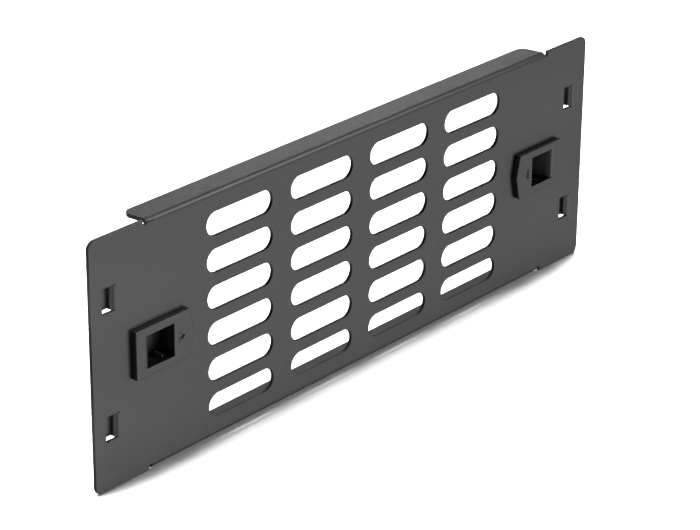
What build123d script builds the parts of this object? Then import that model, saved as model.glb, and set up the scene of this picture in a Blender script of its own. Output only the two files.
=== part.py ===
from build123d import *
import os

# Ventilated blanking panel for a 10-inch rack, two rack units high, held without tools.
# One folded steel sheet carries two moulded slide latches. Each latch is a housing snapped
# into the sheet, a sliding bolt with a finger pocket, and a return spring.
# Frame: origin at the middle of the sheet's rear face, which lies on the rack's rails.
# +X runs along the panel, +Y goes into the rack and +Z is up. All sizes are in millimetres.

# The rack that the panel is made for, with its rails measured from the panel's ends
unit_height = 44.45
units_covered = 2
rail_width = 16.0
rail_sheet = 1.2
rail_hole_inset = 8.75

# The folded sheet
panel_width = 254.0
panel_gap = 0.8
sheet = 1.4
corner_radius = 3.0
ear_width = 23.5
relief_width = 1.55
relief_depth = 1.9
flange_depth = 11.35
flange_drop = 0.23
flange_lean = 3.5
flange_corner_radius = 3.5
bend_radius = 0.4

# The ventilation slots, which share out the sheet between the two latches
slot_columns = 4
slot_rows = 6
slot_side_margin = 8.8
slot_edge_margin = 7.4
slot_bridge = 9.2
slot_bar = 4.7

# The four tabs lanced out of the ears, which stand in the rails' square holes
tab_height = 8.7
tab_kerf = 0.15
tab_opening_reach = 3.55
tab_web_offset = 0.7
tab_bend_radius = 0.3
tab_foot_length = 2.7
tab_rail_clearance = 0.1

# The latch bezel, seen from the front
bezel_rail_inset = 0.8
bezel_length = 24.2
bezel_height = 17.0
bezel_thickness = 2.4
bezel_point = 1.8
bezel_edge_radius = 0.35
window_inset = 5.1
window_length = 11.8
window_height = 11.5
window_slope = 30.6
window_edge_radius = 2.0
arrow_inset = 4.2
arrow_length = 2.9
arrow_height = 4.1
arrow_depth = 0.65

# The latch body behind the sheet
body_outer_lip = 2.2
body_inner_lip = 1.2
body_height = 14.0
body_depth = 9.0
body_wall = 1.2
body_end_wall = 1.0
body_corner_radius = 0.6
cutout_clearance = 0.2
lug_width = 5.0
lug_height = 0.9
lug_length = 4.4
lug_slit = 0.8
lug_clearance = 0.15
tongue_width = 4.4
tongue_slit = 0.8

# The sliding bolt
latch_travel = 4.0
slide_clearance = 0.2
slider_wall = 1.0
pocket_depth = 7.4
pocket_radius = 1.0
bolt_height = 9.2
bolt_reach = 3.5
bolt_tip = 0.8
bolt_rail_clearance = 0.2
groove_depth = 3.0
groove_width = 3.2
groove_end = 2.7
stop_length = 1.4

# The return spring
spring_diameter = 2.7
spring_wire = 0.4
spring_turns = 5
wire_sides = 6
spring_clearance = 0.1

# Reach used to pick an edge by its place, and to cut clean through a wall
pick = 0.01
overcut = 0.01

# Places that follow from the sizes above
panel_height = units_covered * unit_height - panel_gap
rail_gap = panel_width - 2 * rail_width
rail_hole_spacing = panel_width - 2 * rail_hole_inset
rail_hole_height = (units_covered - 1) * unit_height / 2

flange_top = panel_height / 2 - flange_drop
flange_length = panel_width - 2 * (ear_width + relief_width)
flange_back = flange_depth - sheet
bend_line = flange_top - sheet - bend_radius
relief_bottom = panel_height / 2 - relief_depth
ear_edge = panel_width / 2 - ear_width

bezel_outer = rail_gap / 2 - bezel_rail_inset
bezel_inner = bezel_outer - bezel_length
bezel_front = -sheet - bezel_thickness
window_outer = bezel_outer - window_inset
window_inner = window_outer - window_length

slot_field_length = 2 * (bezel_inner - bezel_point - slot_side_margin)
slot_length = (slot_field_length - (slot_columns - 1) * slot_bridge) / slot_columns
slot_field_height = panel_height - 2 * slot_edge_margin
slot_height = (slot_field_height - (slot_rows - 1) * slot_bar) / slot_rows
slot_pitch_x = slot_length + slot_bridge
slot_pitch_z = slot_height + slot_bar

body_outer = bezel_outer - body_outer_lip
body_inner = bezel_inner + body_inner_lip
body_length = body_outer - body_inner
body_middle = (body_outer + body_inner) / 2
cavity_back = body_depth - body_wall
cavity_height = body_height - 2 * body_wall
cavity_inner = body_inner + body_end_wall
end_wall_inside = body_outer - body_wall

slider_front = -sheet + slide_clearance
slider_back = cavity_back - slide_clearance
slider_height = cavity_height - 2 * slide_clearance
slider_outer = end_wall_inside - slide_clearance
slider_inner = cavity_inner + latch_travel + slide_clearance
pocket_inner = slider_inner + slider_wall
pocket_floor = bezel_front + pocket_depth
bolt_front = rail_sheet + bolt_rail_clearance
bolt_end = rail_gap / 2 + bolt_reach
groove_floor = slider_back - groove_depth
groove_inner = pocket_inner + slider_wall
groove_outer = slider_outer - groove_end
stop_inner = groove_inner + slide_clearance
stop_outer = stop_inner + stop_length


def ramp_x(y):
    """Where the sloping outer side of the finger pocket lies at a depth, on the right latch."""
    run = Vector(0, 1).rotate(Axis.Z, window_slope)
    return window_outer + (y - bezel_front) * run.X / run.Y


# The flange's section, a strip folded back from the sheet a little past square
with BuildSketch(Plane.YZ) as flange_section:
    with BuildLine():
        turn = 90 + flange_lean
        fold = JernArc((-sheet / 2, bend_line), (0, 1), bend_radius + sheet / 2, -turn)
        reach = flange_back - (fold @ 1).X
        PolarLine(fold @ 1, reach, -flange_lean, length_mode=LengthMode.HORIZONTAL)
    trace(line_width=sheet)

with BuildPart() as top_flange:
    extrude(flange_section.sketch, amount=flange_length / 2, both=True)
    rear_face = faces().sort_by(Axis.Y)[-1]
    fillet(rear_face.edges().filter_by(Axis.X, reverse=True), flange_corner_radius)

# A lanced tab seen from above, around the middle of its rail hole: a web and a foot
tab_bend = tab_bend_radius + sheet / 2
tab_root = tab_web_offset + tab_bend_radius + sheet
tab_foot_y = rail_sheet + tab_rail_clearance + sheet / 2
with BuildSketch() as tab_section:
    with BuildLine():
        root_bend = JernArc((tab_root, -sheet / 2), (-1, 0), tab_bend, -90)
        web = Line(root_bend @ 1, (tab_web_offset + sheet / 2, tab_foot_y - tab_bend))
        foot_bend = JernArc(web @ 1, (0, 1), tab_bend, 90)
        Line(foot_bend @ 1, (tab_web_offset - tab_foot_length, tab_foot_y))
    trace(line_width=sheet)

# The folded sheet
with BuildPart() as panel:
    with BuildSketch(Plane.XZ):
        RectangleRounded(panel_width, panel_height, corner_radius)
        with GridLocations(0, panel_height + 2 * bend_line, 1, 2):
            Rectangle(flange_length, panel_height, mode=Mode.SUBTRACT)
        relief_height = relief_depth - relief_width / 2
        for side in (-1, 1):
            for edge in (-1, 1):
                relief_x = side * (ear_edge - relief_width / 2)
                with Locations((relief_x, edge * (panel_height - relief_height) / 2)):
                    Rectangle(relief_width, relief_height, mode=Mode.SUBTRACT)
                with Locations((relief_x, edge * (relief_bottom + relief_width / 2))):
                    Circle(relief_width / 2, mode=Mode.SUBTRACT)
        with GridLocations(slot_pitch_x, slot_pitch_z, slot_columns, slot_rows):
            SlotOverall(slot_length, slot_height, mode=Mode.SUBTRACT)
        with GridLocations(2 * body_middle, 0, 2, 1):
            Rectangle(
                body_length + 2 * cutout_clearance,
                body_height + 2 * cutout_clearance,
                mode=Mode.SUBTRACT,
            )
        tab_opening = tab_opening_reach + tab_root
        with GridLocations(rail_hole_spacing, 2 * rail_hole_height, 2, 2):
            with Locations((tab_root - tab_opening / 2, 0)):
                Rectangle(tab_opening, tab_height, mode=Mode.SUBTRACT)
    extrude(amount=sheet)
    add(top_flange.part)
    mirror(top_flange.part, about=Plane.XY)
    for hole_z in (-rail_hole_height, rail_hole_height):
        with BuildSketch(Plane.XY.offset(hole_z)):
            with GridLocations(rail_hole_spacing, 0, 2, 1):
                add(tab_section.sketch)
        extrude(amount=tab_height / 2 - tab_kerf, both=True)
panel.part.label = "panel"

# The right latch's housing: a bezel on the front of the sheet and a hollow body behind it
with BuildPart() as right_latch_housing:
    with BuildSketch(Plane.XZ.offset(sheet)):
        with BuildLine():
            Polyline(
                (bezel_outer, bezel_height / 2),
                (bezel_inner, bezel_height / 2),
                (bezel_inner - bezel_point, 0),
                (bezel_inner, -bezel_height / 2),
                (bezel_outer, -bezel_height / 2),
                close=True,
            )
        make_face()
    extrude(amount=bezel_thickness)
    fillet(faces().sort_by(Axis.Y)[0].edges(), bezel_edge_radius)
    with BuildSketch(Plane.XZ.offset(sheet)):
        with Locations((body_middle, 0)):
            RectangleRounded(body_length, body_height, body_corner_radius)
    extrude(amount=-(sheet + body_depth))
    # The cavity for the slider, open at the outer end behind a short end wall
    with BuildSketch(Plane.XY):
        with BuildLine():
            Polyline(
                (cavity_inner, -sheet),
                (end_wall_inside, -sheet),
                (end_wall_inside, bolt_front - slide_clearance),
                (body_outer + body_wall, bolt_front - slide_clearance),
                (body_outer + body_wall, cavity_back),
                (cavity_inner, cavity_back),
                close=True,
            )
        make_face()
    extrude(amount=cavity_height / 2, both=True, mode=Mode.SUBTRACT)
    # The window, square at its inner end, sloping and well rounded at its outer end
    with BuildSketch(Plane.XY):
        with BuildLine():
            Polyline(
                (window_inner, bezel_front),
                (window_outer, bezel_front),
                (ramp_x(-sheet), -sheet),
                (window_inner, -sheet),
                close=True,
            )
        make_face()
    extrude(amount=window_height / 2, both=True, mode=Mode.SUBTRACT)
    upright_edges = edges().filter_by(Axis.Z)
    window_edge = upright_edges.filter_by_position(Axis.X, window_outer - pick, window_outer + pick)
    fillet(window_edge, window_edge_radius)
    # The arrowhead sunk into the bezel, which points to the panel's middle
    with BuildSketch(Plane.XZ.offset(-bezel_front)):
        with BuildLine():
            Polyline(
                (bezel_inner - bezel_point + arrow_inset, 0),
                (bezel_inner - bezel_point + arrow_inset + arrow_length, arrow_height / 2),
                (bezel_inner - bezel_point + arrow_inset + arrow_length, -arrow_height / 2),
                close=True,
            )
        make_face()
    extrude(amount=-arrow_depth, mode=Mode.SUBTRACT)
    # A springy tongue in each long wall, with a lug that catches behind the sheet
    for side in (-1, 1):
        with BuildSketch(Plane.XZ.offset(-lug_clearance)):
            with Locations((body_middle, side * (body_height - body_wall) / 2)):
                Rectangle(lug_width + 2 * lug_slit, body_wall + overcut)
                Rectangle(lug_width, body_wall + overcut, mode=Mode.SUBTRACT)
        extrude(amount=-(lug_length + lug_slit), mode=Mode.SUBTRACT)
        with BuildSketch(Plane.XZ.offset(-lug_clearance)):
            with Locations((body_middle, side * (body_height - body_wall) / 2)):
                Rectangle(lug_width + 2 * lug_slit, body_wall + overcut)
        extrude(amount=lug_slit, mode=Mode.SUBTRACT)
        with BuildSketch(Plane.YZ.offset(body_middle)):
            with BuildLine():
                Polyline(
                    (lug_clearance, side * (body_height / 2 - body_wall / 2)),
                    (lug_clearance, side * (body_height / 2 + lug_height)),
                    (lug_clearance + lug_length, side * body_height / 2),
                    (lug_clearance + lug_length, side * (body_height / 2 - body_wall / 2)),
                    close=True,
                )
            make_face()
        extrude(amount=lug_width / 2, both=True)
    # The stop that the spring leans on, on a tongue cut free in the back wall
    with BuildSketch(Plane.XZ.offset(-cavity_back)):
        tongue_end = stop_inner - tongue_slit
        with Locations(((tongue_end + groove_outer) / 2, 0)):
            Rectangle(groove_outer - tongue_end, tongue_width + 2 * tongue_slit)
        with Locations(((stop_inner + groove_outer) / 2, 0)):
            Rectangle(groove_outer - stop_inner, tongue_width, mode=Mode.SUBTRACT)
    extrude(amount=-body_wall, mode=Mode.SUBTRACT)
    stop_front = groove_floor + spring_clearance
    with BuildSketch(Plane.XY):
        with Locations(((stop_inner + stop_outer) / 2, (stop_front + cavity_back) / 2)):
            Rectangle(stop_length, cavity_back - stop_front)
    extrude(amount=groove_width / 2 - slide_clearance, both=True)
right_latch_housing.part.label = "right_latch_housing"

# The right latch's slider: a finger pocket with a bolt that reaches behind the rail
with BuildPart() as right_latch_slider:
    with BuildSketch(Plane.XY):
        with BuildLine():
            Polyline(
                (slider_inner, slider_front),
                (pocket_inner, slider_front),
                (pocket_inner, pocket_floor),
                (ramp_x(pocket_floor), pocket_floor),
                (ramp_x(slider_front), slider_front),
                (slider_outer, slider_front),
                (slider_outer, slider_back),
                (slider_inner, slider_back),
                close=True,
            )
        make_face()
    extrude(amount=slider_height / 2, both=True)
    upright_edges = edges().filter_by(Axis.Z)
    pocket_edges = upright_edges.filter_by_position(Axis.Y, pocket_floor - pick, pocket_floor + pick)
    fillet(pocket_edges, pocket_radius)
    with BuildSketch(Plane.XY):
        with BuildLine():
            Polyline(
                (slider_outer, bolt_front),
                (bolt_end, bolt_front),
                (bolt_end, bolt_front + bolt_tip),
                (bolt_end - (slider_back - bolt_front - bolt_tip), slider_back),
                (slider_outer, slider_back),
                close=True,
            )
        make_face()
    extrude(amount=bolt_height / 2, both=True)
    with BuildSketch(Plane.XZ.offset(-slider_back)):
        with Locations(((groove_inner + groove_outer) / 2, 0)):
            Rectangle(groove_outer - groove_inner, groove_width)
    extrude(amount=groove_depth, mode=Mode.SUBTRACT)
right_latch_slider.part.label = "right_latch_slider"

# The right latch's return spring, between the housing's stop and the slider's outer block.
# Its wire has six sides, which keeps the coil's faces few.
spring_start = stop_outer + spring_clearance + spring_wire / 2
spring_end = groove_outer - spring_clearance - spring_wire / 2
with BuildPart() as right_latch_spring:
    with BuildLine() as coil:
        Helix(
            pitch=(spring_end - spring_start) / spring_turns,
            height=spring_end - spring_start,
            radius=(spring_diameter - spring_wire) / 2,
            center=(spring_start, (groove_floor + slider_back) / 2, 0),
            direction=(1, 0, 0),
        )
    with BuildSketch(Plane(origin=coil.line @ 0, z_dir=coil.line % 0)):
        RegularPolygon(spring_wire / 2, wire_sides)
    sweep(is_frenet=True)
right_latch_spring.part.label = "right_latch_spring"

# The left latch is the mirror image of the right one
with BuildPart() as left_latch_housing:
    mirror(right_latch_housing.part, about=Plane.YZ)
left_latch_housing.part.label = "left_latch_housing"

with BuildPart() as left_latch_slider:
    mirror(right_latch_slider.part, about=Plane.YZ)
left_latch_slider.part.label = "left_latch_slider"

with BuildPart() as left_latch_spring:
    mirror(right_latch_spring.part, about=Plane.YZ)
left_latch_spring.part.label = "left_latch_spring"

os.makedirs("parts", exist_ok=True)
export_step(panel.part, "parts/panel.step")
export_step(right_latch_housing.part, "parts/right_latch_housing.step")
export_step(right_latch_slider.part, "parts/right_latch_slider.step")
export_step(right_latch_spring.part, "parts/right_latch_spring.step")
export_step(left_latch_housing.part, "parts/left_latch_housing.step")
export_step(left_latch_slider.part, "parts/left_latch_slider.step")
export_step(left_latch_spring.part, "parts/left_latch_spring.step")
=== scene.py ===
"""Looks of the ventilated rack blanking panel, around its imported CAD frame.

Units are metres, in the part's own frame: the origin is at the middle of the sheet's rear
face, +X runs along the panel, +Y goes into the rack and +Z is up.
"""

import math

import bmesh
import bpy
from mathutils import Matrix, Vector


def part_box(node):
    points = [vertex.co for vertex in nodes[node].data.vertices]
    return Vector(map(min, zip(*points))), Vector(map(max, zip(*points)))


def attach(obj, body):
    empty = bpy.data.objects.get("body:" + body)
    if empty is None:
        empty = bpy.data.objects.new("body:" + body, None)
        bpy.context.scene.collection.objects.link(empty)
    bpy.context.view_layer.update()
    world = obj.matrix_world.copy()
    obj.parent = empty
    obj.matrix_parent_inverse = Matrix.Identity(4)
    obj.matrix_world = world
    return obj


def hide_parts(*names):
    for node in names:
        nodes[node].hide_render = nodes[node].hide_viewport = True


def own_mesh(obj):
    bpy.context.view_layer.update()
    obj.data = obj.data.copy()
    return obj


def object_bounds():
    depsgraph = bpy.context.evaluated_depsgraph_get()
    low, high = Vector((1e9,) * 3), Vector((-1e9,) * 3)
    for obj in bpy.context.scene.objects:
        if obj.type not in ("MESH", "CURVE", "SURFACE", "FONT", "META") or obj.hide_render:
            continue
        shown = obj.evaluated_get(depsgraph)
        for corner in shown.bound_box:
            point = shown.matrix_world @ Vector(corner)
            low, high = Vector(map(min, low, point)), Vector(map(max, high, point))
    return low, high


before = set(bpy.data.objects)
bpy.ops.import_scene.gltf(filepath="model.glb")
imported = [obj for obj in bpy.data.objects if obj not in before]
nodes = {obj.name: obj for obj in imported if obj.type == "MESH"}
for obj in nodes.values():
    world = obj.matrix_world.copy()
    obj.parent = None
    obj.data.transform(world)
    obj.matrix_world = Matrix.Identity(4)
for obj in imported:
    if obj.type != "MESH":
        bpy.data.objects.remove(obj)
cad_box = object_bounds()

# Sizes of the CAD shapes
SHEET_THICKNESS = 0.0014
BEND_HEIGHT = 0.044
TAB_HEIGHT = 0.0222

# Sizes of what the scene adds to them: rounded edges and round spring wire
STEEL_EDGE = 0.00022
MOULDED_EDGE = 0.00012
EDGE_SEGMENTS = 1
SPRING_WIRE = 0.0004
SPRING_TURNS = 5
SPRING_SIDES = 6
SPRING_STEPS = 16

# Middles of the sheet's holes, where its flat faces are cut into simple pieces
HOLES_ACROSS = (-0.11825, -0.098, -0.06, -0.02, 0.02, 0.06, 0.098, 0.11825)
HOLES_UP = (-0.0325, -0.022225, -0.0195, -0.0065, 0.0065, 0.0195, 0.022225, 0.0325)

# Lengths below this count as none, and angles, in degrees, that tell faces apart
SAME_PLACE = 1e-6
SAME_PLANE = 1e-7
FLAT_ANGLE = 0.1
OUTER_ANGLE = 35
SHARP_ANGLE = 50
FACING_Y = 0.999
ACROSS_Y = 0.01

# Looks: shade is the share of light sent back, and roughness runs from mirror to matt
COAT_SHADE = 0.017
COAT_ROUGHNESS = (0.42, 0.55)
HOUSING_SHADE = 0.017
HOUSING_ROUGHNESS = 0.45
# The sliders are black plastic, made darker than the housings as painted shade, so that the latch
# windows read as deep shadow
SLIDER_TONE_WITH_PAINTED_SHADE = 0.006
SLIDER_ROUGHNESS = 0.6
PLASTIC_VARIATION = 0.05
FLOOR_REACH = 6.0
FLOOR_SHADE = 0.12
FLOOR_ROUGHNESS = 0.9
FLOOR_SEEN_SHADE = 0.8
FLOOR_SEEN_GLOW = 0.11
BACKDROP_LIGHT = 0.03
BACKDROP_SEEN = 1.0

# Directions from the panel towards the lamps
ABOVE_X = (-0.4, 0.0, 0.4)
ABOVE_Y = 0.12
FRONT_RIGHT = (0.38, -0.85, -0.3)
REAR_RIGHT = (0.28, 0.9, -0.3)
FLANGE_MIRROR = (0.7, 0.64, 0.29)
BEND_MIRROR = (0.69, -0.45, 0.55)
LEFT_OF_TABS = (-0.93, -0.3, 0.1)

# The camera that the photograph's outline and slots give
CAMERA_PLACE = Vector((-0.612143, -0.527577, 0.365130))
CAMERA_AZIMUTH = -49.0367
CAMERA_ELEVATION = 23.2731
CAMERA_ROLL = 0.5117
CAMERA_LENS = 132.53
CAMERA_SENSOR = 36
CAMERA_SHIFT_Y = -65 / 700
CAMERA_CLIP = (0.01, 50)


def depth(item):
    """How far a face or an edge reaches along Y."""
    places = [v.co.y for v in item.verts]
    return max(places) - min(places)


def is_cut_wall(face):
    """Whether a face crosses the sheet and is exactly as deep as the sheet is thick."""
    return abs(face.normal.y) < ACROSS_Y and abs(depth(face) - SHEET_THICKNESS) < SAME_PLACE


def sheet_rims(bm):
    """The edges where the sheet's flat front and rear faces meet walls cut right through it."""
    rims = []
    for edge in bm.edges:
        place = edge.verts[0].co.y
        off_face = min(abs(place), abs(place + SHEET_THICKNESS))
        in_face = depth(edge) < SAME_PLACE and off_face < SAME_PLACE
        flat = [f for f in edge.link_faces if abs(f.normal.y) > FACING_Y]
        wall = [f for f in edge.link_faces if is_cut_wall(f)]
        if in_face and len(flat) == 1 and len(wall) == 1:
            rims.append(edge)
    return rims


def outer_edges(bm):
    """The sharp outer edges of a moulded piece."""
    limit = math.radians(OUTER_ANGLE)
    return [e for e in bm.edges if e.is_manifold and e.calc_face_angle_signed() > limit]


def cut_through(bm, axis, places):
    """Cuts every face along planes across an axis, so that no face runs around a hole."""
    for place in places:
        point, normal = Vector(), Vector()
        point[axis] = place
        normal[axis] = 1
        geometry = bm.verts[:] + bm.edges[:] + bm.faces[:]
        bmesh.ops.bisect_plane(
            bm, geom=geometry, dist=SAME_PLANE, plane_co=point, plane_no=normal,
        )


def in_front_plane(edge):
    """Whether an edge lies in the plane of the sheet's front face."""
    return max(abs(v.co.y + SHEET_THICKNESS) for v in edge.verts) <= SAME_PLACE


def rounded_copy(name, node, choose, edge):
    """A copy of a CAD node with chosen edges rounded and its curved faces smooth."""
    bm = bmesh.new()
    bm.from_mesh(nodes[node].data)
    bmesh.ops.remove_doubles(bm, verts=bm.verts, dist=SAME_PLACE)
    # The ring around a housing's body, in the plane of the sheet's front face, keeps its
    # triangles, because one face can't run around a hole
    joined = [e for e in bm.edges if node == "panel" or not in_front_plane(e)]
    bmesh.ops.dissolve_limit(
        bm, angle_limit=math.radians(FLAT_ANGLE), verts=bm.verts, edges=joined,
    )
    bmesh.ops.bevel(
        bm, geom=choose(bm), offset=edge, offset_type="OFFSET", segments=EDGE_SEGMENTS,
        profile=0.5, affect="EDGES", clamp_overlap=False,
    )
    if node == "panel":
        cut_through(bm, 0, HOLES_ACROSS)
        cut_through(bm, 2, HOLES_UP)
    mesh = bpy.data.meshes.new(name)
    bm.to_mesh(mesh)
    bm.free()
    for face in mesh.polygons:
        face.use_smooth = True
    mesh.set_sharp_from_angle(angle=math.radians(SHARP_ANGLE))
    piece = bpy.data.objects.new(name, mesh)
    bpy.context.scene.collection.objects.link(piece)
    # The large faces stay flat in the light, and the narrow ones bend it
    weighted = piece.modifiers.new("even_faces", "WEIGHTED_NORMAL")
    weighted.keep_sharp = True
    weighted.weight = 100
    return piece


def coil_spring(name, node):
    """A round-wire compression spring as long as the CAD spring it stands for."""
    low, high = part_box(node)
    middle = (low + high) / 2
    wire = SPRING_WIRE / 2
    radius = (high.z - low.z) / 2 - wire
    start, end = low.x + wire, high.x - wire
    slope = (end - start) / (2 * math.pi * SPRING_TURNS * radius)
    steps = SPRING_TURNS * SPRING_STEPS
    around = [2 * math.pi * k / SPRING_SIDES for k in range(SPRING_SIDES)]
    bm = bmesh.new()
    rings = []
    for i in range(steps + 1):
        turn = 2 * math.pi * i / SPRING_STEPS
        out = Vector((0, math.cos(turn), math.sin(turn)))
        along = Vector((slope, -math.sin(turn), math.cos(turn))).normalized()
        centre = Vector((start + (end - start) * i / steps, middle.y, middle.z)) + out * radius
        side = along.cross(out)
        rings.append([
            bm.verts.new(centre + wire * (math.cos(a) * out + math.sin(a) * side)) for a in around
        ])
    for a, b in zip(rings, rings[1:]):
        for k in range(SPRING_SIDES):
            n = (k + 1) % SPRING_SIDES
            bm.faces.new((a[k], a[n], b[n], b[k]))
    bm.faces.new(rings[0][::-1])
    bm.faces.new(rings[-1])
    bmesh.ops.recalc_face_normals(bm, faces=bm.faces)
    mesh = bpy.data.meshes.new(name)
    bm.to_mesh(mesh)
    bm.free()
    for face in mesh.polygons:
        face.use_smooth = len(face.vertices) == 4
    piece = bpy.data.objects.new(name, mesh)
    bpy.context.scene.collection.objects.link(piece)
    return piece


class Nodes:
    """A material's node tree, with short calls for the nodes used here."""

    def __init__(self, name):
        self.material = bpy.data.materials.new(name)
        self.material.use_nodes = True
        self.tree = self.material.node_tree
        self.shader = self.tree.nodes["Principled BSDF"]
        self.place = self.add("ShaderNodeTexCoord").outputs["Object"]

    def add(self, kind, **values):
        """A new node of a kind, with its settings."""
        node = self.tree.nodes.new(kind)
        for key, value in values.items():
            setattr(node, key, value)
        return node

    def link(self, a, b):
        """Joins an output to an input."""
        self.tree.links.new(a, b)

    def feed(self, value, socket):
        """Joins an output to one of the shader's inputs."""
        self.link(value, self.shader.inputs[socket])

    def noise(self, scale, detail=2.0):
        """Cloudy noise, from 0 to 1."""
        node = self.add("ShaderNodeTexNoise")
        node.inputs["Scale"].default_value = scale
        node.inputs["Detail"].default_value = detail
        node.inputs["Roughness"].default_value = 0.5
        self.link(self.place, node.inputs["Vector"])
        return node.outputs["Fac"]

    def grain(self, scale):
        """Round grains: the distance to the nearest of many scattered points."""
        node = self.add("ShaderNodeTexVoronoi")
        node.inputs["Scale"].default_value = scale
        self.link(self.place, node.inputs["Vector"])
        return node.outputs["Distance"]

    def ramp(self, value, low, high):
        """Spreads the middle range of a noise over low to high."""
        node = self.add("ShaderNodeMapRange")
        node.inputs["From Min"].default_value = 0.3
        node.inputs["From Max"].default_value = 0.7
        node.inputs["To Min"].default_value = low
        node.inputs["To Max"].default_value = high
        self.link(value, node.inputs["Value"])
        return node.outputs["Result"]

    def maths(self, operation, a, b):
        """One step of arithmetic on numbers or outputs."""
        node = self.add("ShaderNodeMath", operation=operation)
        for socket, value in zip(node.inputs, (a, b)):
            if isinstance(value, (int, float)):
                socket.default_value = value
            else:
                self.link(value, socket)
        return node.outputs["Value"]

    def grey(self, value, tint=(1.0, 1.0, 1.0)):
        """A colour of one brightness, with a slight tint."""
        node = self.add("ShaderNodeCombineColor")
        for socket, share in zip(node.inputs, tint):
            self.link(self.maths("MULTIPLY", value, share), socket)
        return node.outputs["Color"]

    def bump(self, height, distance, strength):
        """Fine relief of the surface, in metres."""
        node = self.add("ShaderNodeBump")
        node.inputs["Strength"].default_value = strength
        node.inputs["Distance"].default_value = distance
        self.link(height, node.inputs["Height"])
        self.feed(node.outputs["Normal"], "Normal")


def powder_coat():
    """Dark grey powder coat: fine pebbled texture with slight mottling."""
    m = Nodes("powder_coat")
    mottle = m.ramp(m.noise(900, 3.0), 0.94, 1.06)
    cloud = m.ramp(m.noise(26), 0.99, 1.01)
    speck = m.ramp(m.noise(2600, 1.0), 0.88, 1.12)
    shade = m.maths("MULTIPLY", m.maths("MULTIPLY", mottle, cloud), speck)
    m.feed(m.grey(m.maths("MULTIPLY", shade, COAT_SHADE)), "Base Color")
    m.feed(m.ramp(m.noise(900), *COAT_ROUGHNESS), "Roughness")
    height = m.maths("ADD", m.noise(1500), m.maths("MULTIPLY", m.grain(1900), 0.5))
    m.bump(height, 0.00003, 0.5)
    return m.material


def moulded_plastic(name, shade, rough):
    """Moulded black plastic with a fine spark-eroded grain."""
    m = Nodes(name)
    cloud = m.ramp(m.noise(300), 0.95, 1.05)
    speck = m.ramp(m.noise(3000, 1.0), 0.94, 1.06)
    tone = m.maths("MULTIPLY", cloud, speck)
    m.feed(m.grey(m.maths("MULTIPLY", tone, shade)), "Base Color")
    smoothest, roughest = rough - PLASTIC_VARIATION, rough + PLASTIC_VARIATION
    m.feed(m.ramp(m.noise(1200), smoothest, roughest), "Roughness")
    m.bump(m.noise(3500), 0.000012, 0.5)
    return m.material


def drawn_steel():
    """Bright spring wire with fine drawing marks."""
    m = Nodes("drawn_steel")
    m.shader.inputs["Metallic"].default_value = 1.0
    m.feed(m.grey(m.ramp(m.noise(1800, 3.0), 0.48, 0.62), (1.0, 1.0, 1.03)), "Base Color")
    m.feed(m.ramp(m.noise(2500), 0.22, 0.38), "Roughness")
    m.bump(m.noise(5000, 1.0), 0.000004, 0.4)
    return m.material


def dress(piece, node, body, material):
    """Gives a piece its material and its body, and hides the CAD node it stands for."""
    piece.data.materials.clear()
    piece.data.materials.append(material)
    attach(piece, body)
    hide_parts(node)


def add_moulded(node, body, material):
    """A moulded part of a latch, with its outer edges rounded."""
    piece = rounded_copy(node + "_moulded", node, outer_edges, MOULDED_EDGE)
    dress(piece, node, body, material)


def add_spring(side, material):
    """A latch's spring, as a round-wire coil held with the panel's body."""
    node = side + "_latch_spring"
    spring = coil_spring(node + "_wire", node)
    dress(spring, node, "panel_body", material)
    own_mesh(spring)


def add_pieces():
    """The coated sheet, and both latches with their springs."""
    coat = powder_coat()
    housing_plastic = moulded_plastic("housing_plastic", HOUSING_SHADE, HOUSING_ROUGHNESS)
    # The slider plastic is darker than the housing's: black plastic with painted shade for the
    # latch windows
    slider_plastic = moulded_plastic("slider_plastic", SLIDER_TONE_WITH_PAINTED_SHADE, SLIDER_ROUGHNESS)
    wire = drawn_steel()
    sheet = rounded_copy("panel_coated", "panel", sheet_rims, STEEL_EDGE)
    dress(sheet, "panel", "panel_body", coat)
    for side in ("left", "right"):
        add_moulded(side + "_latch_housing", "panel_body", housing_plastic)
        add_moulded(side + "_latch_slider", side + "_slider", slider_plastic)
        add_spring(side, wire)


def add_floor():
    """A plain pale floor under the panel's lowest edge, which sends little light back up."""
    mesh = bpy.data.meshes.new("floor")
    low, high = -FLOOR_REACH, FLOOR_REACH
    outline = [(low, low), (high, low), (high, high), (low, high)]
    corners = [(x, y, cad_box[0].z) for x, y in outline]
    mesh.from_pydata(corners, [], [(0, 1, 2, 3)])
    floor = bpy.data.objects.new("floor", mesh)
    bpy.context.scene.collection.objects.link(floor)
    m = Nodes("floor_white")
    m.shader.inputs["Roughness"].default_value = FLOOR_ROUGHNESS
    m.shader.inputs["Specular IOR Level"].default_value = 0.0
    # The floor is paler to the eye than to the light that it sends up to the panel
    direct = m.add("ShaderNodeLightPath").outputs["Is Camera Ray"]
    shade = m.maths("ADD", m.maths("MULTIPLY", direct, FLOOR_SEEN_SHADE), FLOOR_SHADE)
    m.feed(m.grey(shade), "Base Color")
    m.shader.inputs["Emission Color"].default_value = (1, 1, 1, 1)
    m.feed(m.maths("MULTIPLY", direct, FLOOR_SEEN_GLOW), "Emission Strength")
    mesh.materials.append(m.material)
    # The lamps that stand lower than the floor shine through it
    floor.visible_shadow = False


def add_sun(name, towards, strength, angle):
    """A distant lamp of an angular width, in degrees, that stands towards a direction."""
    lamp = bpy.data.lights.new(name, "SUN")
    lamp.energy = strength
    lamp.angle = math.radians(angle)
    sun = bpy.data.objects.new(name, lamp)
    sun.rotation_mode = "QUATERNION"
    sun.rotation_quaternion = Vector(towards).to_track_quat("Z", "Y")
    bpy.context.scene.collection.objects.link(sun)
    return sun


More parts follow.
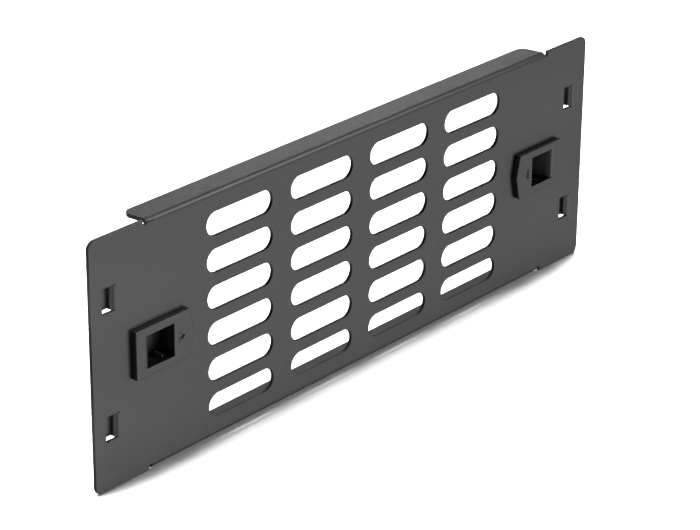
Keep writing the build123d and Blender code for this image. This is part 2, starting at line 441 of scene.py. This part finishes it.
def add_spot(name, aim, towards, distance, power, cone, size):
    """A near lamp that stands towards a direction from the place it lights."""
    lamp = bpy.data.lights.new(name, "SPOT")
    lamp.energy = power
    lamp.spot_size = math.radians(cone)
    lamp.spot_blend = 1.0
    lamp.shadow_soft_size = size
    spot = bpy.data.objects.new(name, lamp)
    back = Vector(towards).normalized()
    spot.location = Vector(aim) + back * distance
    spot.rotation_mode = "QUATERNION"
    spot.rotation_quaternion = back.to_track_quat("Z", "Y")
    bpy.context.scene.collection.objects.link(spot)
    return spot


def add_backdrop():
    """Surroundings that look white but give the panel little light."""
    world = bpy.data.worlds.new("studio")
    bpy.context.scene.world = world
    world.use_nodes = True
    tree = world.node_tree
    background = tree.nodes["Background"]
    background.inputs["Color"].default_value = (1, 1, 1, 1)
    rays = tree.nodes.new("ShaderNodeLightPath")
    strength = tree.nodes.new("ShaderNodeMapRange")
    strength.inputs["To Min"].default_value = BACKDROP_LIGHT
    strength.inputs["To Max"].default_value = BACKDROP_SEEN
    tree.links.new(rays.outputs["Is Camera Ray"], strength.inputs["Value"])
    tree.links.new(strength.outputs["Result"], background.inputs["Strength"])


def add_lights():
    """Soft lamps for the faces, and lamps that only shine back from the flange and its bend."""
    for x in ABOVE_X:
        overhead = add_sun("overhead", (x, ABOVE_Y, 1.0), strength=3.4, angle=14)
        overhead.visible_glossy = False
    add_sun("front_right", FRONT_RIGHT, strength=2.4, angle=40)
    add_sun("rear_right", REAR_RIGHT, strength=2.8, angle=60)
    sheens = (
        add_sun("back_sheen", FLANGE_MIRROR, strength=0.15, angle=8),
        add_sun("bend_sheen", BEND_MIRROR, strength=0.5, angle=30),
        add_spot(
            "bend_light", (-0.12, 0, BEND_HEIGHT), BEND_MIRROR,
            distance=0.6, power=15.0, cone=21, size=0.12,
        ),
    )
    for lamp in sheens:
        lamp.visible_diffuse = False
    for x in (HOLES_ACROSS[0], HOLES_ACROSS[-1]):
        for z in (-TAB_HEIGHT, TAB_HEIGHT):
            add_spot(
                "tab_light", (x, 0, z), LEFT_OF_TABS, distance=0.3, power=9.0, cone=3, size=0.01,
            )


def add_camera():
    """The camera that sees the panel as the photograph does."""
    data = bpy.data.cameras.new("camera")
    camera = bpy.data.objects.new("camera", data)
    degrees = (CAMERA_AZIMUTH, CAMERA_ELEVATION, CAMERA_ROLL)
    azimuth, elevation, roll = (math.radians(v) for v in degrees)
    back = Vector((
        math.sin(azimuth) * math.cos(elevation),
        -math.cos(azimuth) * math.cos(elevation),
        math.sin(elevation),
    ))
    level = Vector((math.cos(azimuth), math.sin(azimuth), 0))
    up = back.cross(level)
    right = math.cos(roll) * level + math.sin(roll) * up
    top = math.cos(roll) * up - math.sin(roll) * level
    turn = Matrix((right, top, back)).transposed().to_4x4()
    camera.matrix_world = Matrix.Translation(CAMERA_PLACE) @ turn
    data.lens = CAMERA_LENS
    data.sensor_width = CAMERA_SENSOR
    data.shift_y = CAMERA_SHIFT_Y
    data.clip_start, data.clip_end = CAMERA_CLIP
    bpy.context.scene.collection.objects.link(camera)
    bpy.context.scene.camera = camera


add_camera()
add_pieces()
add_floor()
add_backdrop()
add_lights()
bpy.context.scene.view_settings.view_transform = "Standard"
